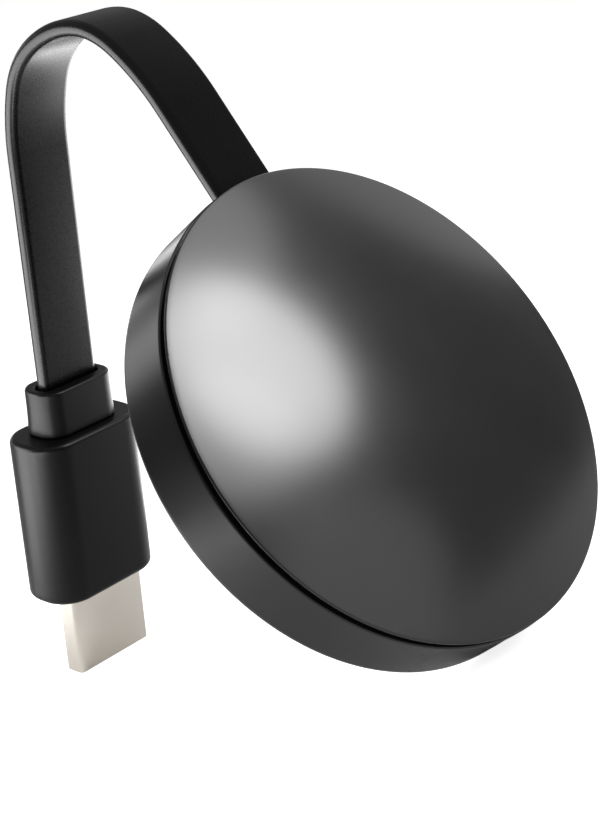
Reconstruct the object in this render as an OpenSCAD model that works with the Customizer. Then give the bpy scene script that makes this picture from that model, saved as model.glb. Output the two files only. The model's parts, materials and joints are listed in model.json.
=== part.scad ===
// Streaming media stick: a round puck, a short flat lead and a plug for a television's socket.
// Millimetres. The object stands as in use on a shelf: on the puck's back rim and the plug's end.
// +Z is up, the puck's domed cover faces -Y and the lead arches over to +Y behind it.
// The puck's own pieces are drawn flat, back down: x right, y towards the lead, z out of the cover.

/* [Puck] */
// Diameter of the side band
puck_d = 64; // [60:1:70]
// Height of the side band from the flat back to the groove
band_h = 9; // [8.6:0.1:12]
// Thickness of the flat back
floor_t = 1.5; // [1.2:0.1:1.8]
// Thickness of the side wall below the cover's seat
wall_t = 3.1; // [2.6:0.1:3.4]
// Thickness of the thin rim beside the cover's skirt
rim_t = 1.8; // [1.4:0.1:2]
// Depth of the cover's seat below the band's front edge
seat_depth = 1; // [0.6:0.1:1.2]
// Radius of the rounded back edge
back_fillet = 1.2; // [0.6:0.1:1.8]
// Diameter of a peg socket's tube
socket_d = 5.4; // [4.8:0.1:6]
// Height of a peg socket above the floor
socket_h = 5.3; // [4.6:0.1:5.6]

/* [Cover] */
// Width of the dark groove between the band and the cover
groove_w = 0.9; // [0.5:0.1:1.4]
// How far the cover's rim stands back from the band's surface
cover_inset = 0.1; // [0.05:0.05:0.4]
// Height of the dome above the cover's rim
dome_h = 4.1; // [3.4:0.1:6]
// Thickness of the cover
cover_t = 1.6; // [1.2:0.1:2]
// Radius of the cover's rounded rim
cover_fillet = 0.9; // [0.4:0.1:1.2]
// Height of the straight edge under the rounded rim
cover_edge = 0.2; // [0.1:0.1:0.6]
// Thickness of the skirt that sits inside the band
skirt_t = 1.2; // [0.8:0.1:1.4]
// Diameter of the locating pegs
peg_d = 2.4; // [2:0.1:2.8]
// Length of a peg in its socket
peg_l = 4.4; // [3:0.1:4.8]
// Diameter of the posts that carry the pegs
post_d = 4.6; // [4:0.1:5]

/* [Board] */
// Thickness of the main board
board_t = 1; // [0.8:0.1:1.2]
// Height of the screw bosses that carry the board
boss_h = 1.9; // [1.6:0.1:2.4]
// Diameter of a screw boss
boss_d = 4.8; // [4:0.1:5.4]
// Gap between the board's edge and the wall
board_gap = 2.4; // [2:0.1:2.8]
// Diameter of the board screws
screw_d = 1.6; // [1.4:0.1:2]
// Length of the board screws under the head
screw_l = 3.4; // [2.8:0.1:3.6]
// Diameter of the screw heads
screw_head_d = 3; // [2.6:0.1:3.4]
// Height of the screw heads
screw_head_h = 0.9; // [0.7:0.1:1.2]

/* [Chips] */
// Width of the shield frame
shield_w = 25; // [23:0.5:26]
// Depth of the shield frame
shield_d = 20; // [18:0.5:21]
// Height of the shield frame
shield_h = 1.9; // [1.7:0.1:2.2]
// Thickness of the shield's sheet metal
shield_t = 0.25; // [0.2:0.05:0.4]
// Side of the square processor
processor_w = 12; // [10:0.5:13]
// Height of the processor
processor_h = 1.2; // [0.9:0.1:1.4]
// Width of the memory chip
memory_w = 8; // [7:0.5:9]
// Depth of the memory chip
memory_d = 11; // [9:0.5:12]
// Height of the memory chip
memory_h = 1; // [0.8:0.1:1.2]
// Width of the flash chip
flash_w = 11; // [9:0.5:12]
// Depth of the flash chip
flash_d = 7.5; // [6:0.5:8]
// Height of the flash chip
flash_h = 1; // [0.8:0.1:1.2]
// Side of the wireless module
wireless_w = 8.5; // [7:0.5:9]
// Height of the wireless module
wireless_h = 1.8; // [1.4:0.1:2]
// Side of the power chip
power_w = 4; // [3:0.5:4.5]
// Height of the power chip
power_h = 0.9; // [0.7:0.1:1.1]
// Side of a power inductor
inductor_w = 3; // [2.5:0.1:3.2]
// Height of a power inductor
inductor_h = 1.5; // [1.2:0.1:1.8]
// Length of a capacitor
capacitor_l = 1.6; // [1:0.1:1.8]
// Width and height of a capacitor
capacitor_w = 0.8; // [0.5:0.1:0.9]
// Length of the timing crystal
crystal_l = 3.2; // [2.5:0.1:3.4]
// Width of the timing crystal
crystal_w = 2.5; // [2:0.1:2.6]
// Height of the timing crystal
crystal_h = 0.8; // [0.6:0.1:1]
// Length of a chip antenna
antenna_l = 7; // [5:0.5:7.5]
// Width of a chip antenna
antenna_w = 2; // [1.6:0.1:2.2]
// Height of a chip antenna
antenna_h = 1; // [0.8:0.1:1.2]
// Thickness of the thermal pad on the shield's lid
lid_pad_t = 0.8; // [0.6:0.1:1]
// Side of the thermal pad on the shield's lid
lid_pad_w = 17; // [14:0.5:18]
// Radius of the heat spreader as a share of the board's radius
spreader_share = 0.64; // [0.58:0.01:0.64]
// Thickness of the heat spreader
spreader_t = 0.8; // [0.5:0.1:1]

/* [Power socket] */
// Width of the power socket's shell
usb_w = 7.5; // [7.3:0.1:7.7]
// Height of the power socket's shell
usb_h = 2.6; // [2.5:0.1:2.8]
// Length of the power socket's shell
usb_l = 5.6; // [5:0.1:6]
// Thickness of the power socket's sheet metal
usb_t = 0.3; // [0.2:0.05:0.35]
// Width of the narrow side of the socket's shell
usb_narrow_w = 5.4; // [5:0.1:5.8]
// Height of the slanted part of the socket's shell
usb_slant_h = 0.8; // [0.6:0.1:1]
// How far the socket stands back from the band's surface
usb_inset = 0.5; // [0.3:0.1:1]
// Space round the socket in the band's opening
usb_space = 0.35; // [0.2:0.05:0.5]

/* [Button and light] */
// Diameter of the reset button
button_d = 3.4; // [3:0.1:3.6]
// How far the button stands out of the band
button_proud = 0.35; // [0.2:0.05:0.6]
// How far the button travels
button_travel = 0.4; // [0.3:0.05:0.5]
// Angle of the button round the band from the power socket
button_angle = 32; // [28:1:38]
// Diameter of the button's flange
flange_d = 4.6; // [4.2:0.1:4.8]
// Thickness of the button's flange
flange_t = 0.6; // [0.4:0.1:0.8]
// Width of the tactile switch along the board's edge
switch_w = 4.6; // [4:0.1:5]
// Depth of the tactile switch
switch_d = 3.2; // [2.8:0.1:3.4]
// Height of the tactile switch
switch_h = 3; // [2.6:0.1:3.2]
// Diameter of the switch's plunger
plunger_d = 1.6; // [1.2:0.1:1.8]
// Angle of the status light round the band from the power socket
light_angle = 52; // [50:1:58]
// Diameter of the light pipe
light_d = 1.6; // [1.2:0.1:1.8]

/* [Lead] */
// Width of the flat lead
lead_w = 10; // [9:0.2:11]
// Thickness of the flat lead
lead_t = 2.2; // [2:0.1:2.4]
// Radius of the lead's rounded edges
lead_edge = 0.3; // [0.2:0.05:0.4]
// Depth of the lead's middle below the band's front edge
lead_drop = 1.5; // [1.4:0.1:1.9]
// Length of the straight part next to the puck
lead_rise = 12.8; // [10:0.2:16]
// Length of the straight part next to the plug
lead_fall = 33; // [30:0.5:36]
// Whole bend of the lead between puck and plug
lead_bend = 141; // [130:1:150]
// Tightest bend radius of the lead
lead_radius = 10; // [8:0.5:11]
// Running gap round each step's joint
joint_gap = 0.1; // [0.08:0.01:0.14]
// Width of the anchor block that holds the lead in the puck
anchor_w = 14; // [13:0.5:14.5]
// Length of the anchor block
anchor_l = 5; // [4:0.2:5.6]

/* [Plug] */
// Width of the strain relief
relief_w = 13.2; // [12.4:0.1:14]
// Thickness of the strain relief
relief_d = 6.8; // [6:0.1:7.2]
// Height of the strain relief above the grip
relief_l = 6.8; // [5:0.1:9]
// Depth of the recess round the lead in the strain relief
relief_recess = 0.8; // [0.4:0.1:1.2]
// Width of the grip
grip_w = 19.8; // [19.4:0.1:21]
// Thickness of the grip
grip_d = 10.8; // [10.6:0.1:12]
// Length of the grip
grip_l = 24.6; // [23:0.2:27]
// Radius of the grip's long edges
grip_edge = 4.8; // [3.6:0.1:5.2]
// Wall of the grip
grip_t = 1.2; // [1:0.1:1.3]
// Width of the plug's metal shell
shell_w = 13.9; // [13.7:0.1:14]
// Height of the plug's metal shell
shell_h = 4.45; // [4.4:0.05:4.6]
// Thickness of the shell's sheet metal
shell_t = 0.35; // [0.25:0.05:0.4]
// Width of the narrow side of the shell
shell_narrow_w = 10.6; // [10:0.1:11.4]
// Height of the slanted part of the shell
shell_slant_h = 1.6; // [1.2:0.1:1.8]
// How far the shell stands out of the grip
shell_out = 12; // [11:0.1:13]
// How far the shell's middle lies off the grip's middle
shell_offset = 1; // [0:0.1:1]

/* [Hidden] */
$fn = 64;

// Overrun of a cut past the face it leaves
cut = 0.5;
// Clearance of pieces that are pushed together
fit_gap = 0.1;
// Clearance of the running pieces
run_gap = 0.1;

// Radii and heights of the puck, from its flat back
puck_r = puck_d / 2;
wall_r = puck_r - wall_t;
seat_r = puck_r - rim_t;
seat_z = band_h - seat_depth;
cover_r = puck_r - cover_inset;
cover_z = band_h + groove_w;
crown_z = cover_z + dome_h;
skirt_r = seat_r - fit_gap;
skirt_in_r = skirt_r - skirt_t;

// The dome is a sphere that runs into the rounded rim
rim_mid_r = cover_r - cover_fillet;
rim_mid_z = cover_z + cover_edge;
dome_rise = crown_z - rim_mid_z;
dome_r = (rim_mid_r * rim_mid_r + dome_rise * dome_rise - cover_fillet * cover_fillet)
         / (2 * (dome_rise - cover_fillet));
dome_mid_z = crown_z - dome_r;
rim_start = asin(rim_mid_r / (dome_r - cover_fillet));
dome_steps = 24;
fillet_steps = 8;

// Board, its screws and the cover's pegs
board_r = wall_r - board_gap;
board_z = floor_t + boss_h;
top_z = board_z + board_t;
boss_angles = [55, 125, 215];
boss_place_r = board_r * 0.83;
pilot_d = screw_d + fit_gap;
peg_angles = [28, 152, 244];
peg_place_r = wall_r - socket_d / 2 - board_gap / 2;
socket_top = floor_t + socket_h;
socket_bore = peg_d + 2 * fit_gap;
board_hole_d = screw_d + 2 * fit_gap;
socket_space = 0.4;
press_d = 3;
press_angles = [30, 150, 270];
// Radius of the board that the chips' sizes are given for; they grow and shrink with the board
layout_r = 26.5;
plan = board_r / layout_r;

// Shield, pads and spreader stand on each other
lid_z = top_z + shield_h;
lid_pad_z = lid_z + shield_t;
spreader_z = lid_pad_z + lid_pad_t;
spreader_top = spreader_z + spreader_t;

// Places on the board as shares of its radius
shield_share = [0, 0.075];
processor_share = [-0.2, 0.08];
memory_share = [0.25, 0.08];
flash_share = [-0.1, -0.56];
wireless_share = [0.72, -0.06];
power_share = [-0.65, -0.12];
inductor_shares = [[-0.8, -0.12], [-0.64, 0.06], [-0.64, -0.3]];
crystal_share = [0.03, -0.2];
antenna_shares = [[0.755, 0.2], [0.56, -0.42]];
capacitor_row_share = [-0.32, 0.37];
capacitor_count = 8;
capacitor_pitch = capacitor_w * 2.5;

// Power socket
usb_mouth = puck_r - usb_inset;
usb_plate = 1;
tongue_t = 0.6;
tongue_w = 3.7;
tongue_l = 3.4;
usb_pins = 5;
usb_pitch = 0.65;
pin_w = 0.35;
pin_t = 0.1;
tab_edge = 1.2;
tab_w = usb_w + 2 * tab_edge;
tab_end = wall_r - tab_edge;

// Button, switch and status light
button_z = top_z + switch_h / 2;
button_turn = -90 + button_angle;
flange_out = wall_r - run_gap;
flange_in = flange_out - flange_t;
stem_d = 2;
stem_l = 0.7;
edge_gap = 0.3;
switch_out = board_r - edge_gap;
plunger_out = flange_in - stem_l;
plunger_in = switch_out - switch_d / 2;
light_turn = -90 + light_angle;
led_w = 1.6;
led_d = 0.8;
led_h = 0.6;
led_out = board_r - edge_gap / 2;
light_in = board_r + edge_gap / 2;
light_z = top_z + led_h;

// Lead: bend radii of its steps, and the place and heading at the end of each
bend_shares = [3.4, 1.3, 1, 1.4, 1.7, 1.2, 1.2, 3];
bend_radii = bend_shares * lead_radius;
steps = len(bend_shares);
step_a = lead_bend / steps;
lead_z = band_h - lead_drop;
notch_gap = 0.15;
knuckle_d = lead_t - joint_gap;
// Displacement along an arc that bends back, for a heading h, a radius r and an angle a
function along_arc(h, r, a) = let (y = r * sin(a), z = -r * (1 - cos(a)))
    [y * cos(h) + z * sin(h), -y * sin(h) + z * cos(h)];
function step_start(i) = i == 0 ? [puck_r + lead_rise, lead_z]
    : step_start(i - 1) + along_arc((i - 1) * step_a, bend_radii[i - 1], step_a);
function half_step(i) = along_arc(0, bend_radii[i], step_a / 2);
function joint_at(i) = step_start(i) + along_arc(i * step_a, bend_radii[i], step_a / 2);
function joint_heading(i) = (i + 1 / 2) * step_a;
plug_start = step_start(steps) + lead_fall * [cos(lead_bend), -sin(lead_bend)];
anchor_gap = 1.3;
anchor_out = wall_r - anchor_gap;
anchor_in = anchor_out - anchor_l;
anchor_over = 0.8;
wire_count = 9;
wire_pitch = 1;
wire_d = 0.7;
wire_l = 2.4;
stub_l = 0.6;
root_in = anchor_in - stub_l;
header_w = 12;
header_d = 3;
header_h = 1.6;
header_y = root_in - wire_l;
spreader_r = board_r * spreader_share;
press_place_r = spreader_r * 0.7;

// Plug: lengths along it from the strain relief's top
grip_start = relief_l;
grip_end = grip_start + grip_l;
shell_end = grip_end + shell_out;
relief_edge = relief_d * 0.42;
relief_flange = 1;
flange_l = 1.2;
flange_end = grip_start + grip_t + flange_l;
cavity_edge = grip_edge - grip_t;
tail_l = 4.4;
tail_end = flange_end + tail_l;
bare_l = 8.6;
wires_end = tail_end + bare_l;
shield_gap = 2;
shield_start = tail_end + shield_gap;
contact_tail = 1;
shell_start = wires_end + contact_tail;
carrier_start = shell_start + contact_tail;
carrier_inset = 1;
carrier_end = shell_end - carrier_inset;
tongue_slot_w = 12;
tongue_slot_h = 2;
tongue_slot_l = 8;
contact_w = 0.4;
contact_t = 0.16;
contact_pitch = 1;
wire_hole_h = 2;

// The whole object leans back until the puck's rim and the shell's end stand on one plane
shell_corner = plug_start
    + shell_end * [cos(lead_bend), -sin(lead_bend)]
    - (shell_offset + shell_h / 2) * [sin(lead_bend), cos(lead_bend)];
rim_centre = [-(puck_r - back_fillet), back_fillet];
reach = shell_corner - rim_centre;
lean = atan2(reach[0], -reach[1]) + asin(back_fillet / norm(reach));
// Row places of a point [y, z] of the puck's frame, before the origin is set
function back_of(p) = -p[1] * cos(lean) + p[0] * sin(lean);
function up_of(p) = p[0] * cos(lean) + p[1] * sin(lean);
stand_z = back_fillet - up_of(rim_centre);
front_y = back_of([-cover_r, rim_mid_z]);
grip_corner = plug_start + grip_end * [cos(lead_bend), -sin(lead_bend)]
    + grip_d / 2 * [sin(lead_bend), cos(lead_bend)];
shell_back = plug_start + shell_end * [cos(lead_bend), -sin(lead_bend)]
    + (shell_h / 2 - shell_offset) * [sin(lead_bend), cos(lead_bend)];
back_y = max(back_of(grip_corner), back_of(shell_back));
stand_y = -(front_y + back_y) / 2;

// Stands the flat-drawn puck up, leaning back, with the origin on the floor
module stood() { translate([0, stand_y, stand_z]) rotate([90 - lean, 0, 0]) children(); }

// Turns a piece drawn along z to point out of the band at an angle and a height
module radial(angle, z) { rotate([0, 0, angle]) translate([0, 0, z]) rotate([0, 90, 0]) children(); }

// A place along the lead, with y running on along it and z out of its outer face
module station(p, heading) { translate([0, p[0], p[1]]) rotate([-heading, 0, 0]) children(); }

// The plug's frame: y runs to the plug's end
module at_plug() { stood() station(plug_start, lead_bend) children(); }

module ring(angles, place_r) { for (a = angles) rotate([0, 0, a]) translate([place_r, 0, 0]) children(); }

module on_board(share, z = top_z) { translate([share[0] * board_r, share[1] * board_r, z]) children(); }

module block(w, d, h) { translate([-w / 2, -d / 2, 0]) cube([w, d, h]); }

// A piece on the board, whose width and depth follow the board's size
module chip(w, d, h) { block(w * plan, d * plan, h); }

// A plate along y from one place to another, with its middle on the axis
module bar(w, d, from, to) { translate([-w / 2, from, -d / 2]) cube([w, to - from, d]); }

module rounded(w, d, r) {
    square([w - 2 * r, d], center = true);
    square([w, d - 2 * r], center = true);
    for (x = [-1, 1], y = [-1, 1]) translate([x * (w / 2 - r), y * (d / 2 - r)]) circle(r);
}

// A rounded bar along y
module rounded_bar(w, d, r, from, to) {
    translate([0, from, 0]) rotate([-90, 0, 0]) linear_extrude(to - from) rounded(w, d, r);
}

// A plug outline, full width on one side and slanted in to the other
function plug_outline(w, h, narrow, slant) = [
    [-w / 2, h / 2], [w / 2, h / 2], [w / 2, slant - h / 2],
    [narrow / 2, -h / 2], [-narrow / 2, -h / 2], [-w / 2, slant - h / 2]];

module plug_bar(w, h, narrow, slant, from, to) {
    translate([0, from, 0]) rotate([-90, 0, 0]) linear_extrude(to - from)
        polygon(plug_outline(w, h, narrow, slant));
}

module front_cover() color("dimgray") stood() {
    dome = [for (i = [0 : dome_steps]) let (a = rim_start * i / dome_steps)
        [dome_r * sin(a), dome_mid_z + dome_r * cos(a)]];
    rim = [for (i = [1 : fillet_steps]) let (a = rim_start + (90 - rim_start) * i / fillet_steps)
        [rim_mid_r + cover_fillet * sin(a), rim_mid_z + cover_fillet * cos(a)]];
    inner_r = dome_r - cover_t;
    skirt_a = asin(skirt_in_r / inner_r);
    inside = [for (i = [0 : dome_steps]) let (a = skirt_a * (1 - i / dome_steps))
        [inner_r * sin(a), dome_mid_z + inner_r * cos(a)]];
    difference() {
        rotate_extrude($fn = 128) polygon(concat(dome, rim,
            [[cover_r, cover_z], [skirt_r, cover_z], [skirt_r, seat_z], [skirt_in_r, seat_z]], inside));
        translate([0, puck_r, band_h / 2]) block(lead_w + 8 * fit_gap, wall_t * 4, band_h / 2 + groove_w / 2);
    }
    post_top = dome_mid_z + sqrt(pow(inner_r, 2) - pow(peg_place_r, 2)) + cover_t / 2;
    ring(peg_angles, peg_place_r) {
        translate([0, 0, socket_top]) cylinder(d = post_d, h = post_top - socket_top);
        translate([0, 0, socket_top - peg_l]) cylinder(d = peg_d, h = peg_l);
    }
    press_top = dome_mid_z + sqrt(pow(inner_r, 2) - pow(press_place_r, 2)) + cover_t / 2;
    ring(press_angles, press_place_r)
        translate([0, 0, spreader_top]) cylinder(d = press_d, h = press_top - spreader_top);
}

module rear_housing() color("black") stood() {
    edge = [for (i = [0 : fillet_steps]) let (a = 90 * i / fillet_steps)
        [puck_r - back_fillet + back_fillet * sin(a), back_fillet * (1 - cos(a))]];
    difference() {
        union() {
            rotate_extrude($fn = 128) polygon(concat([[0, 0]], edge, [[puck_r, band_h], [seat_r, band_h],
                [seat_r, seat_z], [wall_r, seat_z], [wall_r, floor_t], [0, floor_t]]));
            ring(boss_angles, boss_place_r) translate([0, 0, floor_t / 2])
                cylinder(d = boss_d, h = boss_h + floor_t / 2);
            ring(peg_angles, peg_place_r) translate([0, 0, floor_t / 2])
                cylinder(d = socket_d, h = socket_h + floor_t / 2);
        }
        ring(boss_angles, boss_place_r) translate([0, 0, top_z - screw_l - fit_gap])
            cylinder(d = pilot_d, h = screw_l + cut);
        ring(peg_angles, peg_place_r) translate([0, 0, socket_top - peg_l - fit_gap])
            cylinder(d = socket_bore, h = peg_l + cut);
        translate([0, puck_r, lead_z - lead_t / 2 - notch_gap])
            block(lead_w + 2 * notch_gap, wall_t * 3, band_h);
        translate([0, -puck_r, top_z - usb_space])
            block(usb_w + 2 * usb_space, wall_t * 3, usb_h + 2 * usb_space);
        radial(button_turn, button_z) translate([0, 0, wall_r - cut])
            cylinder(d = button_d + 2 * run_gap, h = wall_t + 2 * cut);
        radial(light_turn, light_z) translate([0, 0, wall_r - cut])
            cylinder(d = light_d + fit_gap, h = wall_t + 2 * cut);
    }
}

module main_board() color("darkgreen") stood() {
    difference() {
        union() {
            translate([0, 0, board_z]) cylinder(r = board_r, h = board_t);
            translate([-tab_w / 2, -tab_end, board_z]) cube([tab_w, tab_end - board_r * 3 / 4, board_t]);
        }
        ring(boss_angles, boss_place_r) translate([0, 0, board_z - cut])
            cylinder(d = board_hole_d, h = board_t + 2 * cut);
        ring(peg_angles, peg_place_r) translate([0, 0, board_z - cut])
            cylinder(d = socket_d + 2 * socket_space, h = board_t + 2 * cut);
    }
}

module board_screws() color("silver") stood() ring(boss_angles, boss_place_r) difference() {
    union() {
        translate([0, 0, top_z - screw_l]) cylinder(d = screw_d, h = screw_l);
        translate([0, 0, top_z]) cylinder(d = screw_head_d, h = screw_head_h);
    }
    for (a = [0, 90]) rotate([0, 0, a]) translate([0, 0, top_z + screw_head_h / 2])
        block(screw_head_d * 0.6, screw_d * 0.25, screw_head_h);
}

module processor() color("dimgray") stood() on_board(processor_share)
    chip(processor_w, processor_w, processor_h);

module memory_chip() color("dimgray") stood() on_board(memory_share) chip(memory_w, memory_d, memory_h);

module flash_chip() color("dimgray") stood() on_board(flash_share) chip(flash_w, flash_d, flash_h);

module wireless_module() color("silver") stood() on_board(wireless_share)
    chip(wireless_w, wireless_w, wireless_h);

module power_chip() color("dimgray") stood() on_board(power_share) chip(power_w, power_w, power_h);

module power_inductors() color("gray") stood() for (p = inductor_shares) on_board(p)
    chip(inductor_w, inductor_w, inductor_h);

module board_capacitors() color("tan") stood() on_board(capacitor_row_share)
    for (i = [0 : capacitor_count - 1]) translate([i * capacitor_pitch * plan, 0, 0])
        chip(capacitor_w, capacitor_l, capacitor_w);

module timing_crystal() color("silver") stood() on_board(crystal_share)
    chip(crystal_l, crystal_w, crystal_h);

module chip_antennas() color("white") stood() for (p = antenna_shares) on_board(p)
    chip(antenna_l, antenna_w, antenna_h);

module processor_pad() color("lightblue") stood() on_board(processor_share, top_z + processor_h)
    chip(processor_w - 2 * fit_gap, processor_w - 2 * fit_gap, shield_h - processor_h);

module shield_frame() color("silver") stood() on_board(shield_share) difference() {
    chip(shield_w, shield_d, shield_h);
    translate([0, 0, -cut]) chip(shield_w - 2 * shield_t, shield_d - 2 * shield_t, shield_h + 2 * cut);
}

module shield_lid() color("silver") stood() on_board(shield_share, lid_z)
    chip(shield_w, shield_d, shield_t);

module lid_pad() color("lightblue") stood() on_board(shield_share, lid_pad_z)
    chip(lid_pad_w, lid_pad_w, lid_pad_t);

module heat_spreader() color("silver") stood()
    translate([0, 0, spreader_z]) cylinder(r = spreader_r, h = spreader_t);

// The power socket's frame: y runs out of its mouth, z is the board's top side
module at_usb() { stood() rotate([0, 0, 180]) translate([0, 0, top_z + usb_h / 2]) children(); }

module usb_shell() color("silver") at_usb() difference() {
    mirror([0, 0, 1]) plug_bar(usb_w, usb_h, usb_narrow_w, usb_slant_h, usb_mouth - usb_l, usb_mouth);
    mirror([0, 0, 1]) plug_bar(usb_w - 2 * usb_t, usb_h - 2 * usb_t, usb_narrow_w - usb_t, usb_slant_h,
                               usb_mouth - usb_l - cut, usb_mouth + cut);
}

module usb_tongue() color("black") at_usb() {
    mirror([0, 0, 1]) plug_bar(usb_w - 2 * usb_t, usb_h - 2 * usb_t, usb_narrow_w - usb_t, usb_slant_h,
                               usb_mouth - usb_l, usb_mouth - usb_l + usb_plate);
    bar(tongue_w, tongue_t, usb_mouth - usb_l, usb_mouth - usb_l + usb_plate + tongue_l);
}

module usb_contacts() color("gold") at_usb() for (i = [0 : usb_pins - 1])
    translate([(i - (usb_pins - 1) / 2) * usb_pitch, 0, -(tongue_t + pin_t) / 2])
        bar(pin_w, pin_t, usb_mouth - usb_l + usb_plate, usb_mouth - usb_l + usb_plate + tongue_l - pin_w);

module reset_switch() color("dimgray") stood() radial(button_turn, button_z) difference() {
    translate([0, 0, switch_out - switch_d]) block(switch_h, switch_w, switch_d);
    translate([0, 0, plunger_in - button_travel - run_gap])
        cylinder(d = plunger_d + 2 * run_gap, h = switch_d);
}

module switch_plunger() color("white") stood() radial(button_turn, button_z)
    translate([0, 0, plunger_in]) cylinder(d = plunger_d, h = plunger_out - plunger_in);

module reset_button() color("black") stood() radial(button_turn, button_z) {
    translate([0, 0, plunger_out]) cylinder(d = stem_d, h = flange_in - plunger_out);
    intersection() {
        translate([0, 0, flange_in]) cylinder(d = flange_d, h = flange_t);
        rotate([0, 90, 0]) cylinder(r = flange_out, h = flange_d * 2, center = true);
    }
    translate([0, 0, flange_in]) cylinder(d = button_d, h = puck_r + button_proud - flange_in);
}

module status_led() color("white") stood() radial(light_turn, top_z + led_h / 2)
    translate([0, 0, led_out - led_d]) block(led_h, led_w, led_d);

module light_pipe() color("white") stood() radial(light_turn, light_z) intersection() {
    translate([0, 0, light_in]) cylinder(d = light_d, h = wall_t + board_gap);
    rotate([0, 90, 0]) cylinder(r = puck_r, h = light_d * 2, center = true);
}

module lead_anchor() color("black") stood() translate([0, 0, lead_z]) difference() {
    translate([0, (anchor_in + anchor_out) / 2, top_z - lead_z])
        block(anchor_w, anchor_l, lead_z - top_z + lead_t / 2 + anchor_over);
    bar(lead_w + 2 * fit_gap, lead_t + 2 * fit_gap, anchor_in - cut, anchor_out + cut);
}

module lead_header() color("ivory") stood() translate([0, header_y, top_z])
    block(header_w, header_d, header_h);

module lead_wires() color("silver") stood() for (i = [0 : wire_count - 1])
    translate([(i - (wire_count - 1) / 2) * wire_pitch, 0, 0]) {
        translate([0, root_in, lead_z]) rotate([90, 0, 0]) cylinder(d = wire_d, h = root_in - header_y);
        translate([0, header_y, lead_z]) sphere(d = wire_d);
        translate([0, header_y, top_z + header_h]) cylinder(d = wire_d, h = lead_z - top_z - header_h);
    }

// The lead's cross-section: thickness along x, width along y
module lead_section() {
    square([lead_t, lead_w - 2 * lead_edge], center = true);
    square([lead_t - 2 * lead_edge, lead_w], center = true);
    for (x = [-1, 1], y = [-1, 1])
        translate([x * (lead_t / 2 - lead_edge), y * (lead_w / 2 - lead_edge)]) circle(lead_edge);
}

module lead_straight(l) { rotate([-90, -90, 0]) linear_extrude(l) lead_section(); }

module lead_arc(r, a) {
    translate([0, 0, -r]) rotate([0, -90, 0]) rotate_extrude(angle = a, $fn = 128)
        translate([r, 0]) lead_section();
}

// The round end of a step, and the hollow end that turns on it
module lead_knuckle() {
    rotate([0, 90, 0]) cylinder(d = knuckle_d, h = lead_w - 2 * lead_edge - joint_gap, center = true);
}

module lead_hollow() {
    rotate([0, 90, 0]) cylinder(d = knuckle_d + 2 * joint_gap, h = lead_w + 2 * cut, center = true);
}

// Half a step behind a station, with a hollow end, and half a step past it, with a round end
module half_before(i) {
    difference() {
        mirror([0, 1, 0]) lead_arc(bend_radii[i], step_a / 2);
        translate([0, -half_step(i)[0], half_step(i)[1]]) lead_hollow();
    }
}

module half_past(i) {
    lead_arc(bend_radii[i], step_a / 2);
    translate([0, half_step(i)[0], half_step(i)[1]]) rotate([-step_a / 2, 0, 0]) lead_knuckle();
}

module lead_root() color("black") stood() station(step_start(0), 0) {
    translate([0, root_in - puck_r - lead_rise, 0]) lead_straight(puck_r + lead_rise - root_in);
    half_past(0);
}

module lead_link(i) color("black") stood() station(step_start(i), i * step_a) {
    half_before(i - 1);
    half_past(i);
}

module lead_tail() color("black") stood() station(step_start(steps), lead_bend) {
    half_before(steps - 1);
    lead_straight(lead_fall + tail_end);
}

module strain_relief() color("dimgray") at_plug() difference() {
    union() {
        rounded_bar(relief_w, relief_d, relief_edge, 0, flange_end - flange_l / 2);
        rounded_bar(relief_w + 2 * relief_flange, relief_d + relief_flange, relief_edge,
                    flange_end - flange_l, flange_end);
    }
    rounded_bar(relief_w - 2 * relief_recess, relief_d - 3 * relief_recess, relief_edge - relief_recess,
                -cut, relief_recess);
    bar(lead_w + 2 * fit_gap, lead_t + 2 * fit_gap, 0, flange_end + cut);
}

module plug_grip() color("black") at_plug() difference() {
    rounded_bar(grip_w, grip_d, grip_edge, grip_start, grip_end);
    rounded_bar(grip_w - 2 * grip_t, grip_d - 2 * grip_t, cavity_edge, grip_start + grip_t, grip_end - grip_t);
    rounded_bar(relief_w + 2 * fit_gap, relief_d + 2 * fit_gap, relief_edge + fit_gap,
                grip_start - cut, grip_end / 2);
    translate([0, 0, -shell_offset])
        bar(shell_w + 2 * fit_gap, shell_h + 2 * fit_gap, grip_end / 2, grip_end + cut);
}

module inner_mould() color("ivory") at_plug() difference() {
    rounded_bar(grip_w - 2 * grip_t - 2 * fit_gap, grip_d - 2 * grip_t - 2 * fit_gap, cavity_edge - fit_gap,
                flange_end, grip_end - grip_t);
    bar(lead_w + 2 * fit_gap, lead_t + 2 * fit_gap, flange_end - cut, tail_end + fit_gap);
    translate([0, 0, -shell_offset]) {
        bar(lead_w, wire_hole_h + 2 * shell_offset, tail_end - cut, shield_start + cut);
        plug_bar(shell_w + 2 * fit_gap, shell_h + 2 * fit_gap, shell_narrow_w + fit_gap, shell_slant_h,
                 shield_start - fit_gap, grip_end);
    }
}

module rear_shield() color("silver") at_plug() translate([0, 0, -shell_offset]) difference() {
    plug_bar(shell_w, shell_h, shell_narrow_w, shell_slant_h, shield_start, shell_start);
    plug_bar(shell_w - 2 * shell_t, shell_h - 2 * shell_t, shell_narrow_w - shell_t, shell_slant_h,
             shield_start + shell_t, shell_start + cut);
    bar(lead_w, wire_hole_h + shell_offset, shield_start - cut, shield_start + cut);
}

module plug_shell() color("tan") at_plug() translate([0, 0, -shell_offset]) difference() {
    plug_bar(shell_w, shell_h, shell_narrow_w, shell_slant_h, shell_start, shell_end);
    plug_bar(shell_w - 2 * shell_t, shell_h - 2 * shell_t, shell_narrow_w - shell_t, shell_slant_h,
             shell_start - cut, shell_end + cut);
}

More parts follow.
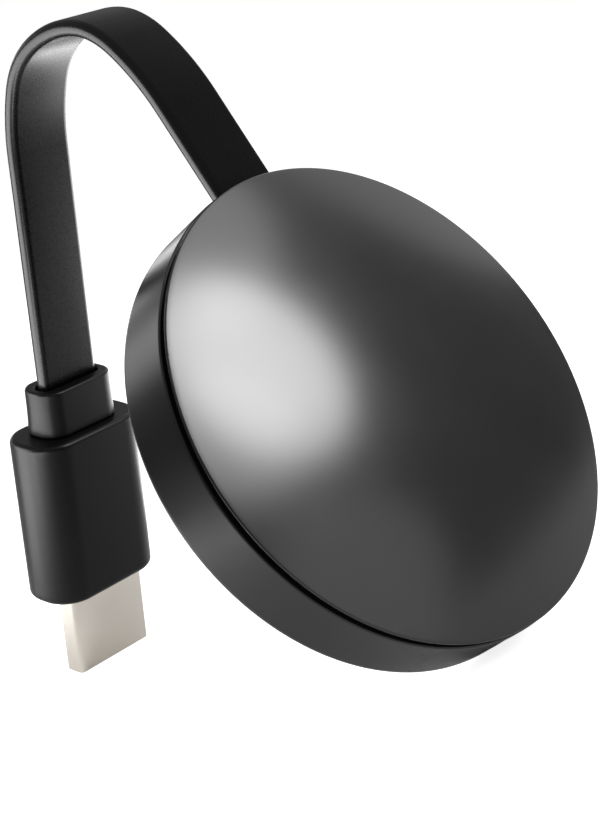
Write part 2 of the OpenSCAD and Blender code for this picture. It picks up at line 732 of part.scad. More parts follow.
// One row of contacts on each side of the slot, the second set half a pitch over
module contact_rows(grow) {
    for (side = [-1, 1], i = [0 : wire_count - (side + 1) / 2])
        translate([(i - wire_count / 2 + (side + 1) / 4) * contact_pitch, 0,
                   -shell_offset + side * (tongue_slot_h / 2 + contact_t / 2)])
            bar(contact_w + 2 * grow, contact_t + 2 * grow, wires_end, carrier_end - contact_w);
}

module contact_carrier() color("dimgray") at_plug() difference() {
    translate([0, 0, -shell_offset]) plug_bar(shell_w - 2 * shell_t - fit_gap, shell_h - 2 * shell_t - fit_gap,
        shell_narrow_w - shell_t - fit_gap, shell_slant_h, carrier_start, carrier_end);
    translate([0, 0, -shell_offset])
        bar(tongue_slot_w, tongue_slot_h, carrier_end - tongue_slot_l, carrier_end + cut);
    contact_rows(fit_gap / 4);
}

module plug_contacts() color("gold") at_plug() contact_rows(0);

module plug_wires() color("silver") at_plug() for (i = [0 : wire_count - 1])
    translate([(i - (wire_count - 1) / 2) * wire_pitch, tail_end, -shell_offset + tongue_slot_h / 2 - wire_d / 4])
        rotate([-90, 0, 0]) cylinder(d = wire_d, h = wires_end - tail_end);

front_cover();
rear_housing();
main_board();
board_screws();
processor();
memory_chip();
flash_chip();
wireless_module();
power_chip();
power_inductors();
board_capacitors();
timing_crystal();
chip_antennas();
processor_pad();
shield_frame();
shield_lid();
lid_pad();
heat_spreader();
usb_shell();
usb_tongue();
usb_contacts();
reset_switch();
switch_plunger();
reset_button();
status_led();
light_pipe();
lead_anchor();
lead_header();
lead_wires();
lead_root();
lead_link(1);  // lead_link_1
lead_link(2);  // lead_link_2
lead_link(3);  // lead_link_3
lead_link(4);  // lead_link_4
lead_link(5);  // lead_link_5
lead_link(6);  // lead_link_6
lead_link(7);  // lead_link_7
lead_tail();
strain_relief();
plug_grip();
inner_mould();
rear_shield();
plug_shell();
contact_carrier();
plug_contacts();
plug_wires();
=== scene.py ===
import json
import math

import bmesh
import bpy
from mathutils import Matrix, Vector


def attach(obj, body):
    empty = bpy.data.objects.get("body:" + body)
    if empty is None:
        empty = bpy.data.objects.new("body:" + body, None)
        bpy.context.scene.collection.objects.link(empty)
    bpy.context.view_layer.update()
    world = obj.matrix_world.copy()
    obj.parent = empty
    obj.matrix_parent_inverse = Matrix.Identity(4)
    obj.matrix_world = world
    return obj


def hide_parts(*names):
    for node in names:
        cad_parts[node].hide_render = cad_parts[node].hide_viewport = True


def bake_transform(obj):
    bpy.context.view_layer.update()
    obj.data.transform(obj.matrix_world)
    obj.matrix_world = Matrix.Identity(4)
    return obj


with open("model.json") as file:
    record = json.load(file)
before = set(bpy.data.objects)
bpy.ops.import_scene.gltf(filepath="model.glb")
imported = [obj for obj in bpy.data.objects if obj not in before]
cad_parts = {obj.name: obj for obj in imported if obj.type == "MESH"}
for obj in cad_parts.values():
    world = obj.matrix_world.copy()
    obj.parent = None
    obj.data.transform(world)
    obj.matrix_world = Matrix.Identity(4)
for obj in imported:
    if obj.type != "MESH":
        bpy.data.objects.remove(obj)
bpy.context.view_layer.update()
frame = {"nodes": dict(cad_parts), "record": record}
mm = 0.001
sharpAngle = math.radians(32)                           # a bend beyond this stays crisp
print("frame loaded:", len(frame["nodes"]), "nodes")


# where things are: two flat drawing frames, one in the puck and one in the plug

mounts = {mount["name"]: mount for mount in frame["record"]["mounts"]}


def standingFrame(place, yAxis, zAxis):
    turned = Matrix((Vector((1, 0, 0)), Vector(yAxis), Vector(zAxis))).transposed().to_4x4()
    turned.translation = Vector(place)
    return turned


backAxis = Vector(mounts["puck_back"]["axis"]).normalized()
coverAxis = -backAxis                                   # out of the cover
riseAxis = coverAxis.cross(Vector((1, 0, 0)))           # up the puck, to where the lead leaves it
puckFrame = standingFrame(mounts["puck_back"]["pos_m"], riseAxis, coverAxis)

plugPlaces = {"shellEnd": 43.4, "shellOffset": 1.0}
plugAxis = Vector(mounts["video_plug"]["axis"]).normalized()
outerAxis = Vector((1, 0, 0)).cross(plugAxis)           # away from the puck
plugStart = (Vector(mounts["video_plug"]["pos_m"]) - plugAxis * plugPlaces["shellEnd"] * mm
             + outerAxis * plugPlaces["shellOffset"] * mm)
plugFrame = standingFrame(plugStart, plugAxis, outerAxis)


def radialFrame(angle, height):
    # z runs out of the band at that angle round the puck
    return (puckFrame @ Matrix.Rotation(math.radians(angle), 4, "Z") @ Matrix.Translation((0, 0, height * mm))
            @ Matrix.Rotation(math.radians(90), 4, "Y"))


# mesh helpers, all in millimetres until the piece is placed

def arc(centre, radius, start, stop, steps):
    return [(centre[0] + radius * math.cos(math.radians(start + (stop - start) * k / steps)),
             centre[1] + radius * math.sin(math.radians(start + (stop - start) * k / steps)))
            for k in range(steps + 1)]


def roundedOutline(corners, radii, steps):
    outline = []
    for k, corner in enumerate(corners):
        point = Vector(corner)
        before = (Vector(corners[k - 1]) - point).normalized()
        after = (Vector(corners[(k + 1) % len(corners)]) - point).normalized()
        half = before.angle(after) / 2
        radius = radii[k] if isinstance(radii, (list, tuple)) else radii
        centre = point + (before + after).normalized() * (radius / math.sin(half))
        first = point + before * (radius / math.tan(half)) - centre
        last = point + after * (radius / math.tan(half)) - centre
        sweep = math.pi - 2 * half
        for s in range(steps + 1):
            t = s / steps
            turned = first * math.sin((1 - t) * sweep) + last * math.sin(t * sweep)
            outline.append(centre + turned / math.sin(sweep))
    return outline


def boxOutline(width, depth, radius, steps=10):
    w, d = width / 2, depth / 2
    return roundedOutline([(-w, d), (w, d), (w, -d), (-w, -d)], radius, steps)


def plugOutline(width, depth, narrow, slant, radius, steps=6):
    w, d, n = width / 2, depth / 2, narrow / 2
    return roundedOutline([(-w, -d), (w, -d), (w, d - slant), (n, d), (-n, d), (-w, d - slant)], radius, steps)


def ringAlong(outline, y, lift=0.0):
    return [Vector((p[0], y, p[1] + lift)) for p in outline]


def loftRings(mesh, rings, loop=False):
    rows = [[mesh.verts.new(p) for p in ring] for ring in rings]
    pairs = list(zip(rows, rows[1:])) + ([(rows[-1], rows[0])] if loop else [])
    for low, high in pairs:
        for k in range(len(low)):
            n = (k + 1) % len(low)
            mesh.faces.new((low[k], low[n], high[n], high[k]))
    if not loop:
        mesh.faces.new(rows[0])
        mesh.faces.new(rows[-1])


def latheProfile(mesh, profile, segments, middle=(0.0, 0.0)):
    rows = []
    for r, z in profile:
        if r < 1e-6:
            rows.append([mesh.verts.new((middle[0], middle[1], z))])
        else:
            rows.append([mesh.verts.new((middle[0] + r * math.cos(2 * math.pi * k / segments),
                                         middle[1] + r * math.sin(2 * math.pi * k / segments), z))
                         for k in range(segments)])
    for k in range(len(rows)):
        low, high = rows[k], rows[(k + 1) % len(rows)]
        if len(low) == 1 and len(high) == 1:
            continue
        for s in range(segments):
            n = (s + 1) % segments
            if len(low) == 1:
                mesh.faces.new((low[0], high[n], high[s]))
            elif len(high) == 1:
                mesh.faces.new((low[s], low[n], high[0]))
            else:
                mesh.faces.new((low[s], low[n], high[n], high[s]))


def smoothed(data):
    data.shade_smooth()
    data.set_sharp_from_angle(angle=sharpAngle)


def placedPiece(name, mesh, place):
    bmesh.ops.remove_doubles(mesh, verts=mesh.verts, dist=1e-5)
    bmesh.ops.recalc_face_normals(mesh, faces=mesh.faces)
    data = bpy.data.meshes.new(name)
    mesh.to_mesh(data)
    mesh.free()
    data.transform(place @ Matrix.Scale(mm, 4))
    smoothed(data)
    piece = bpy.data.objects.new(name, data)
    bpy.context.collection.objects.link(piece)
    return piece


def appliedMesh(piece):
    bpy.context.view_layer.update()
    data = bpy.data.meshes.new_from_object(piece.evaluated_get(bpy.context.evaluated_depsgraph_get()))
    piece.modifiers.clear()
    piece.data = data
    data.name = piece.name
    return data


def cutAway(piece, cutters):
    for cutter in cutters:
        modifier = piece.modifiers.new("cut", "BOOLEAN")
        modifier.operation, modifier.solver, modifier.object = "DIFFERENCE", "EXACT", cutter
    data = appliedMesh(piece)
    for cutter in cutters:
        bpy.data.objects.remove(cutter)
    smoothed(data)


def joined(piece, others):
    mesh = bmesh.new()
    for part in [piece] + others:
        mesh.from_mesh(part.data)
    mesh.to_mesh(piece.data)
    mesh.free()
    for part in others:
        bpy.data.objects.remove(part)
    smoothed(piece.data)
    return piece


def roundPlace(place, angle):
    return place * math.cos(math.radians(angle)), place * math.sin(math.radians(angle))


def cutterBlock(outline, first, last, place):
    mesh = bmesh.new()
    loftRings(mesh, [ringAlong(outline, first), ringAlong(outline, last)])
    return placedPiece("cutter", mesh, place)


def cutterPin(radius, first, last, place, segments=48):
    mesh = bmesh.new()
    latheProfile(mesh, [(0, first), (radius, first), (radius, last), (0, last)], segments)
    return placedPiece("cutter", mesh, place)


# finishes

def newFinish(name):
    finish = bpy.data.materials.new(name)
    finish.use_nodes = True
    tree = finish.node_tree
    shader = tree.nodes["Principled BSDF"]
    coords = tree.nodes.new("ShaderNodeTexCoord")
    return finish, tree, shader, coords


def noiseOn(tree, coords, scale, detail=4.0, stretch=(1, 1, 1)):
    mapping = tree.nodes.new("ShaderNodeMapping")
    mapping.inputs["Scale"].default_value = stretch
    noise = tree.nodes.new("ShaderNodeTexNoise")
    noise.inputs["Scale"].default_value = scale
    noise.inputs["Detail"].default_value = detail
    tree.links.new(coords.outputs["Object"], mapping.inputs["Vector"])
    tree.links.new(mapping.outputs["Vector"], noise.inputs["Vector"])
    return noise


def spread(tree, source, low, high, start=0.3, stop=0.7):
    ranged = tree.nodes.new("ShaderNodeMapRange")
    ranged.inputs["From Min"].default_value, ranged.inputs["From Max"].default_value = start, stop
    ranged.inputs["To Min"].default_value, ranged.inputs["To Max"].default_value = low, high
    tree.links.new(source, ranged.inputs["Value"])
    return ranged.outputs["Result"]


def twoTones(tree, source, first, second):
    ramp = tree.nodes.new("ShaderNodeValToRGB")
    ramp.color_ramp.elements[0].position, ramp.color_ramp.elements[1].position = 0.3, 0.7
    ramp.color_ramp.elements[0].color = (*first, 1)
    ramp.color_ramp.elements[1].color = (*second, 1)
    tree.links.new(source, ramp.inputs["Fac"])
    return ramp.outputs["Color"]


def toned(tone, by):
    return [min(v * by, 1) for v in tone]


def addColour(tree, shader, source, first, second):
    tree.links.new(twoTones(tree, source, first, second), shader.inputs["Base Color"])


def addRoughness(tree, shader, source, low, high):
    tree.links.new(spread(tree, source, low, high), shader.inputs["Roughness"])


def addBump(tree, shader, source, strength, distance):
    bump = tree.nodes.new("ShaderNodeBump")
    bump.inputs["Strength"].default_value = strength
    bump.inputs["Distance"].default_value = distance * mm
    tree.links.new(source, bump.inputs["Height"])
    tree.links.new(bump.outputs["Normal"], shader.inputs["Normal"])


def mouldedPlastic(name, tone, rough, level, grain=2600, grainDepth=0.004, tint=0.12):
    finish, tree, shader, coords = newFinish(name)
    cloud = noiseOn(tree, coords, 60)                       # faint flow and handling marks
    fine = noiseOn(tree, coords, grain, 2.0)                # spark-eroded mould grain
    addColour(tree, shader, cloud.outputs["Fac"], toned(tone, 1 - tint), toned(tone, 1 + tint))
    addRoughness(tree, shader, cloud.outputs["Fac"], rough * 0.94, rough * 1.07)
    shader.inputs["Specular IOR Level"].default_value = level
    addBump(tree, shader, fine.outputs["Fac"], 0.35, grainDepth)
    return finish


def leadJacket(name, tone, rough, level):
    finish, tree, shader, coords = newFinish(name)
    cloud = noiseOn(tree, coords, 90)
    drawn = noiseOn(tree, coords, 2400, 2.0)                # fine matt grain of the extruded jacket
    addColour(tree, shader, cloud.outputs["Fac"], toned(tone, 0.85), toned(tone, 1.15))
    addRoughness(tree, shader, drawn.outputs["Fac"], rough * 0.92, rough * 1.1)
    shader.inputs["Specular IOR Level"].default_value = level
    addBump(tree, shader, drawn.outputs["Fac"], 0.1, 0.001)
    return finish


def platedMetal(name, tone, rough, brush=(1, 1, 1), depth=0.002):
    finish, tree, shader, coords = newFinish(name)
    cloud = noiseOn(tree, coords, 120)
    strokes = noiseOn(tree, coords, 1800, 3.0, stretch=brush)
    addColour(tree, shader, cloud.outputs["Fac"], toned(tone, 0.95), toned(tone, 1.04))
    addRoughness(tree, shader, strokes.outputs["Fac"], rough * 0.85, rough * 1.2)
    shader.inputs["Metallic"].default_value = 1.0
    addBump(tree, shader, strokes.outputs["Fac"], 0.3, depth)
    return finish


def softPad(name, tone):
    finish, tree, shader, coords = newFinish(name)
    filler = noiseOn(tree, coords, 3200, 3.0)
    addColour(tree, shader, filler.outputs["Fac"], toned(tone, 0.8), tone)
    addRoughness(tree, shader, filler.outputs["Fac"], 0.75, 0.95)
    addBump(tree, shader, filler.outputs["Fac"], 0.5, 0.02)
    return finish


def boardLaminate(name, mask, copper):
    finish, tree, shader, coords = newFinish(name)
    cells = tree.nodes.new("ShaderNodeTexVoronoi")          # traces under the solder mask
    cells.feature, cells.distance = "DISTANCE_TO_EDGE", "MANHATTAN"
    cells.inputs["Scale"].default_value = 420
    tree.links.new(coords.outputs["Object"], cells.inputs["Vector"])
    addColour(tree, shader, spread(tree, cells.outputs["Distance"], 1, 0, 0.03, 0.07), mask, copper)
    weave = noiseOn(tree, coords, 900)
    addRoughness(tree, shader, weave.outputs["Fac"], 0.28, 0.4)
    addBump(tree, shader, cells.outputs["Distance"], 0.2, 0.02)
    return finish


def clearPlastic(name, tone, rough):
    finish, tree, shader, coords = newFinish(name)
    haze = noiseOn(tree, coords, 700)
    addColour(tree, shader, haze.outputs["Fac"], toned(tone, 0.92), tone)
    addRoughness(tree, shader, haze.outputs["Fac"], rough * 0.8, rough * 1.2)
    shader.inputs["Subsurface Weight"].default_value = 0.3
    shader.inputs["Subsurface Radius"].default_value = (0.001, 0.001, 0.001)
    addBump(tree, shader, haze.outputs["Fac"], 0.1, 0.01)
    return finish


finishes = {
    "cover_plastic": mouldedPlastic("coverPlastic", (0.010, 0.010, 0.0105), 0.2, 0.5, 2600, 0.0012),
    "band_plastic": mouldedPlastic("bandPlastic", (0.006, 0.006, 0.0065), 0.28, 0.42, 2600, 0.0012),
    "button_plastic": mouldedPlastic("buttonPlastic", (0.007, 0.007, 0.007), 0.32, 0.45),
    "grip_plastic": mouldedPlastic("gripPlastic", (0.003, 0.003, 0.0032), 0.34, 0.15),
    "relief_rubber": mouldedPlastic("reliefRubber", (0.003, 0.003, 0.0032), 0.36, 0.15, 1800, 0.005),
    "lead_rubber": leadJacket("leadJacket", (0.004, 0.004, 0.0042), 0.28, 0.22),
    "anchor_rubber": mouldedPlastic("anchorRubber", (0.012, 0.012, 0.012), 0.6, 0.3),
    "shell_metal": platedMetal("shellPlating", (0.68, 0.635, 0.575), 0.17, (1, 1, 1), 0.0001),
    "tinned_steel": platedMetal("tinnedSteel", (0.62, 0.61, 0.58), 0.35),
    "screw_steel": platedMetal("screwSteel", (0.56, 0.56, 0.57), 0.25),
    "wire_metal": platedMetal("tinnedWire", (0.66, 0.64, 0.6), 0.32),
    "spreader_metal": platedMetal("spreaderAluminium", (0.72, 0.72, 0.73), 0.42, (0.06, 1, 1)),
    "contact_gold": platedMetal("contactGold", (0.83, 0.6, 0.24), 0.24),
    "board_laminate": boardLaminate("boardLaminate", (0.008, 0.075, 0.03), (0.02, 0.14, 0.05)),
    "chip_plastic": mouldedPlastic("chipPlastic", (0.02, 0.02, 0.022), 0.55, 0.4, 3200, 0.01),
    "switch_plastic": mouldedPlastic("switchPlastic", (0.025, 0.025, 0.025), 0.5, 0.4),
    "connector_plastic": mouldedPlastic("connectorPlastic", (0.012, 0.012, 0.012), 0.45, 0.4),
    "plunger_plastic": mouldedPlastic("plungerPlastic", (0.62, 0.61, 0.58), 0.45, 0.5, tint=0.03),
    "header_plastic": mouldedPlastic("headerPlastic", (0.66, 0.61, 0.42), 0.5, 0.5, tint=0.03),
    "mould_plastic": mouldedPlastic("mouldPlastic", (0.68, 0.65, 0.52), 0.5, 0.5, tint=0.03),
    "inductor_ferrite": mouldedPlastic("inductorFerrite", (0.03, 0.03, 0.033), 0.5, 0.5, 1500, 0.02),
    "capacitor_ceramic": mouldedPlastic("capacitorCeramic", (0.3, 0.17, 0.08), 0.45, 0.5, tint=0.06),
    "antenna_ceramic": mouldedPlastic("antennaCeramic", (0.7, 0.7, 0.66), 0.5, 0.5, tint=0.03),
    "thermal_pad": softPad("thermalPad", (0.2, 0.36, 0.5)),
    "light_plastic": clearPlastic("lightPlastic", (0.78, 0.79, 0.8), 0.4),
}
print("finishes made:", len(finishes))


def dress(piece, slotName, body):
    if not piece.data.materials:
        piece.data.materials.append(finishes[slotName])
    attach(piece, body)
    return piece


# every CAD node takes its slot's finish; the outer ones are then replaced by finer pieces
for subpart in frame["record"]["subparts"]:
    node = frame["nodes"][subpart["node"]]
    node.data.materials.clear()
    node.data.materials.append(finishes[subpart["material_slot"]])


# the puck's cover: a shallow dome that runs into a rounded rim

coverSizes = {"rimRadius": 31.9, "rimBottom": 9.9, "crown": 14.0, "rimFillet": 0.24, "rimEdge": 0.13,
              "thickness": 1.6, "skirtOut": 30.1, "skirtIn": 28.9, "skirtFoot": 8.0, "domeSteps": 60,
              "filletSteps": 14, "segments": 256, "footRound": 0.12, "skirtRound": 0.2, "slotWidth": 10.8,
              "slotFoot": 4.5, "slotTop": 9.45, "slotReach": (25.8, 38.2),
              "pegAngles": (28, 152, 244), "pegPlace": 25.0, "pegRadius": 1.2, "pegFoot": 2.4,
              "pegTip": (0.3, 0.4), "postRadius": 2.3, "postFoot": 6.8,
              "pressAngles": (30, 150, 270), "pressPlace": 11.872, "pressRadius": 1.5, "pressFoot": 8.15}


def domeNumbers(s):
    midR = s["rimRadius"] - s["rimFillet"]
    midZ = s["rimBottom"] + s["rimEdge"]
    rise = s["crown"] - midZ
    radius = (midR ** 2 + rise ** 2 - s["rimFillet"] ** 2) / (2 * (rise - s["rimFillet"]))
    return midR, midZ, radius, s["crown"] - radius


def makeCover(s):
    midR, midZ, radius, centre = domeNumbers(s)
    turn = math.degrees(math.asin(midR / (radius - s["rimFillet"])))
    inner = radius - s["thickness"]
    profile = arc((0, centre), radius, 90, 90 - turn, s["domeSteps"])
    profile += arc((midR, midZ), s["rimFillet"], 90 - turn, 0, s["filletSteps"])[1:]
    foot, skirt = s["footRound"], s["skirtRound"]
    profile += arc((s["rimRadius"] - foot, s["rimBottom"] + foot), foot, 0, -90, 4)
    profile += [(s["skirtOut"] + skirt / 2, s["rimBottom"]), (s["skirtOut"], s["rimBottom"] - skirt / 2),
                (s["skirtOut"], s["skirtFoot"] + skirt), (s["skirtOut"] - skirt, s["skirtFoot"]),
                (s["skirtIn"], s["skirtFoot"])]
    stop = math.degrees(math.asin(s["skirtIn"] / inner))
    profile += arc((0, centre), inner, 90 - stop, 90, s["domeSteps"])
    profile[0] = (0.0, s["crown"])
    profile[-1] = (0.0, centre + inner)
    mesh = bmesh.new()
    latheProfile(mesh, profile, s["segments"])
    cover = placedPiece("coverDome", mesh, puckFrame)
    half = s["slotWidth"] / 2
    cutAway(cover, [cutterBlock([(-half, s["slotFoot"]), (half, s["slotFoot"]), (half, s["slotTop"]),
                                 (-half, s["slotTop"])], *s["slotReach"], puckFrame)])
    posts = bmesh.new()
    tipIn, tipUp = s["pegTip"]
    top = centre + math.sqrt(inner ** 2 - s["pegPlace"] ** 2) + s["thickness"] / 2
    for angle in s["pegAngles"]:
        latheProfile(posts, [(0, s["pegFoot"]), (s["pegRadius"] - tipIn, s["pegFoot"]),
                             (s["pegRadius"], s["pegFoot"] + tipUp), (s["pegRadius"], s["postFoot"]),
                             (s["postRadius"], s["postFoot"]), (s["postRadius"], top), (0, top)],
                     40, roundPlace(s["pegPlace"], angle))
    top = centre + math.sqrt(inner ** 2 - s["pressPlace"] ** 2) + s["thickness"] / 2
    for angle in s["pressAngles"]:
        latheProfile(posts, [(0, s["pressFoot"]), (s["pressRadius"], s["pressFoot"]), (s["pressRadius"], top),
                             (0, top)], 32, roundPlace(s["pressPlace"], angle))
    extra = placedPiece("coverPosts", posts, puckFrame)
    return joined(cover, [extra])


cover = dress(makeCover(coverSizes), "cover_plastic", "puck")
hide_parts("front_cover")
print("cover made")


# the rear housing: flat back, side band, seat for the cover and the openings in the band

bandSizes = {"radius": 32.0, "height": 9.0, "floor": 1.5, "wallIn": 28.9, "seatIn": 30.2, "seatZ": 8.0,
             "backFillet": 1.2, "edgeRound": 0.22, "seatRound": 0.15, "floorRound": 0.3, "flatIn": 0.3,
             "edgeRun": 0.2, "segments": 256, "leadSlot": (10.3, 6.25, 16), "slotCorners": (0.1, 0.1, 0.7, 0.7),
             "powerSlot": (8.2, 4.05, 7.35, 0.9), "slotReach": (27.35, 36.65),
             "buttonHole": (-58, 5.9, 1.8), "lightHole": (-38, 5.0, 0.85), "pinReach": (28.4, 36),
             "rimEase": 0.15,
             "bosses": {"angles": (55, 125, 215), "place": 21.995, "radius": 2.4, "top": 3.4, "bore": 0.85,
                        "foot": 0.9},
             "sockets": {"angles": (28, 152, 244), "place": 25.0, "radius": 2.7, "top": 6.8, "bore": 1.3,
                         "foot": 2.3}}


def makeBand(s):
    fillet, edge, seat, ease = s["backFillet"], s["edgeRound"], s["seatRound"], s["rimEase"]
    inner, run = s["floorRound"], s["edgeRun"]
    profile = [(0.0, 0.0), (s["radius"] - fillet - s["flatIn"], 0.0)]
    profile += arc((s["radius"] - fillet, fillet), fillet, -90, 0, 14)
    profile += [(s["radius"], fillet + run), (s["radius"], s["height"] - edge - run)]
    profile += arc((s["radius"] - edge, s["height"] - edge), edge, 0, 90, 6)
    profile += arc((s["seatIn"] + seat, s["height"] - seat), seat, 90, 180, 4)
    profile += [(s["seatIn"], s["seatZ"]), (s["wallIn"], s["seatZ"]), (s["wallIn"], s["floor"] + inner),
                (s["wallIn"] - inner, s["floor"]), (0.0, s["floor"])]
    mesh = bmesh.new()
    latheProfile(mesh, profile, s["segments"])
    band = placedPiece("bandHousing", mesh, puckFrame)
    width, foot, top = s["leadSlot"]
    near, far = s["slotReach"]
    lead = cutterBlock(roundedOutline([(-width / 2, top), (width / 2, top), (width / 2, foot), (-width / 2, foot)],
                                      s["slotCorners"], 6), near, far, puckFrame)
    width, low, high, corner = s["powerSlot"]
    power = cutterBlock([(p[0], p[1] + (low + high) / 2) for p in boxOutline(width, high - low, corner, 8)],
                        -far, -near, puckFrame)
    angle, height, radius = s["buttonHole"]
    button = cutterPin(radius, *s["pinReach"], radialFrame(angle, height))
    angle, height, radius = s["lightHole"]
    light = cutterPin(radius, *s["pinReach"], radialFrame(angle, height), 32)
    cutAway(band, [lead, power, button, light])
    bosses = bmesh.new()
    for post in (s["bosses"], s["sockets"]):
        radius, top, bore = post["radius"], post["top"], post["bore"]
        for angle in post["angles"]:
            latheProfile(bosses, [(0, s["floor"] / 2), (radius, s["floor"] / 2), (radius, top - ease),
                                  (radius - ease, top), (bore + ease, top), (bore, top - ease),
                                  (bore, post["foot"]), (0, post["foot"])], 40, roundPlace(post["place"], angle))
    return joined(band, [placedPiece("bandBosses", bosses, puckFrame)])


band = dress(makeBand(bandSizes), "band_plastic", "puck")
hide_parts("rear_housing")
print("band made")


# the flat lead: one rounded section swept along the arch by Geometry Nodes, a piece in place of each link of the
# lead

leadSizes = {"width": 10.0, "thickness": 2.2, "edgeRadius": 0.92, "edgeSteps": 8, "rootIn": 22.0,
             "rootOut": 34.0, "start": 44.8, "height": 7.5, "bend": 141.0, "radius": 10.0,
             "shares": (3.4, 1.3, 1.0, 1.4, 1.7, 1.2, 1.2, 3.0), "fall": 33.0, "tail": 13.6, "arcSteps": 48}


def sweepTree():
    tree = bpy.data.node_groups.new("sweepSection", "GeometryNodeTree")
    tree.interface.new_socket("Path", in_out="INPUT", socket_type="NodeSocketGeometry")
    for name, value in (("Width", 0.01), ("Thickness", 0.0022), ("Edge Radius", 0.0009)):
        tree.interface.new_socket(name, in_out="INPUT", socket_type="NodeSocketFloat").default_value = value
    tree.interface.new_socket("Edge Steps", in_out="INPUT", socket_type="NodeSocketInt").default_value = 8
    tree.interface.new_socket("Finish", in_out="INPUT", socket_type="NodeSocketMaterial")
    tree.interface.new_socket("Swept", in_out="OUTPUT", socket_type="NodeSocketGeometry")
    nodes, links = tree.nodes, tree.links
    given, result = nodes.new("NodeGroupInput"), nodes.new("NodeGroupOutput")
    path = nodes.new("GeometryNodeMeshToCurve")
    section = nodes.new("GeometryNodeCurvePrimitiveQuadrilateral")
    rounded = nodes.new("GeometryNodeFilletCurve")
    sweep = nodes.new("GeometryNodeCurveToMesh")
    welded = nodes.new("GeometryNodeMergeByDistance")
    realized, finished = nodes.new("GeometryNodeRealizeInstances"), nodes.new("GeometryNodeSetMaterial")
    if "Mode" in rounded.inputs:
        rounded.inputs["Mode"].default_value = "Poly"
    else:
        rounded.mode = "POLY"
    sweep.inputs["Fill Caps"].default_value = True
    welded.inputs["Distance"].default_value = 1e-6
    links.new(given.outputs["Path"], path.inputs["Mesh"])
    links.new(given.outputs["Width"], section.inputs["Width"])
    links.new(given.outputs["Thickness"], section.inputs["Height"])
    links.new(section.outputs["Curve"], rounded.inputs["Curve"])
    links.new(given.outputs["Edge Radius"], rounded.inputs["Radius"])
    links.new(given.outputs["Edge Steps"], rounded.inputs["Count"])
    links.new(path.outputs["Curve"], sweep.inputs["Curve"])
    links.new(rounded.outputs["Curve"], sweep.inputs["Profile Curve"])
    links.new(sweep.outputs["Mesh"], welded.inputs["Geometry"])
    links.new(welded.outputs["Geometry"], realized.inputs["Geometry"])
    links.new(realized.outputs["Geometry"], finished.inputs["Geometry"])
    links.new(given.outputs["Finish"], finished.inputs["Material"])
    links.new(finished.outputs["Geometry"], result.inputs["Swept"])
    return tree


def baked(piece, tree, values):
    modifier = piece.modifiers.new("nodes", "NODES")
    modifier.node_group = tree
    for socket in tree.interface.items_tree:
        if socket.in_out == "INPUT" and socket.name in values:
            modifier[socket.identifier] = values[socket.name]
    data = appliedMesh(piece)
    mesh = bmesh.new()
    mesh.from_mesh(data)
    bmesh.ops.recalc_face_normals(mesh, faces=mesh.faces)
    mesh.to_mesh(data)
    mesh.free()
    smoothed(data)
    return piece


def arcPoint(place, heading, radius, angle):
    y, z = radius * math.sin(angle), -radius * (1 - math.cos(angle))
    return (place[0] + y * math.cos(heading) + z * math.sin(heading),
            place[1] - y * math.sin(heading) + z * math.cos(heading))


def stepPlaces(s):
    places, step = [(s["start"], s["height"])], math.radians(s["bend"] / len(s["shares"]))
    for k, share in enumerate(s["shares"]):
        places.append(arcPoint(places[-1], k * step, share * s["radius"], step))
    return places, step


def pathPiece(name, points):
    data = bpy.data.meshes.new(name)
    data.from_pydata([puckFrame @ Vector((0, p[0] * mm, p[1] * mm)) for p in points],
                     [(k, k + 1) for k in range(len(points) - 1)], [])
    piece = bpy.data.objects.new(name, data)
    bpy.context.collection.objects.link(piece)
    return piece


def makeLead(s):
    places, step = stepPlaces(s)
    tree, pieces = sweepTree(), []
    last = len(s["shares"]) - 1
    for k, share in enumerate(s["shares"]):
        points = [arcPoint(places[k], k * step, share * s["radius"], step * n / s["arcSteps"])
                  for n in range(s["arcSteps"] + 1)]
        if k == 0:
            points = [(s["rootIn"], s["height"]), (s["rootOut"], s["height"])] + points
        if k == last:
            heading = math.radians(s["bend"])
            points += [(points[-1][0] + far * math.cos(heading), points[-1][1] - far * math.sin(heading))
                       for far in (s["fall"] * 0.5, s["fall"], s["fall"] + s["tail"])]
        piece = baked(pathPiece("leadRibbon%d" % (k + 1), points), tree,
                      {"Width": s["width"] * mm, "Thickness": s["thickness"] * mm,
                       "Edge Radius": s["edgeRadius"] * mm, "Edge Steps": s["edgeSteps"],
                       "Finish": finishes["lead_rubber"]})
        pieces.append(piece)
    return pieces, [puckFrame @ Vector((0, p[0] * mm, p[1] * mm)) for p in places]


leadNodes = ["lead_root"] + ["lead_link_%d" % k for k in range(1, 8)]
ribbons, stepPoints = makeLead(leadSizes)
for k, ribbon in enumerate(ribbons):
    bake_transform(ribbon)
    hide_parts(leadNodes[k], *(["lead_tail"] if k == 7 else []))
print("lead made:", len(ribbons), "pieces")


# the strain relief: a collar with a deep recess that the lead goes into

reliefSizes = {"width": 13.2, "depth": 6.8, "corner": 2.856, "rimRound": 0.42, "recess": (11.0, 3.2, 1.4),
               "recessDepth": 2.4, "slot": (10.2, 2.4, 0.62), "flare": 0.2, "foot": 6.7, "footRound": 0.32,
               "neck": -0.25, "flareSteps": 8, "flarePower": 2.5, "mouthRound": 0.2,
               "flangeWidth": 15.2, "flangeDepth": 7.8, "flangeStart": 8.0, "end": 9.2}


def grown(width, depth, corner, by):
    return boxOutline(width + 2 * by, depth + 2 * by, max(corner + by, 0.05))


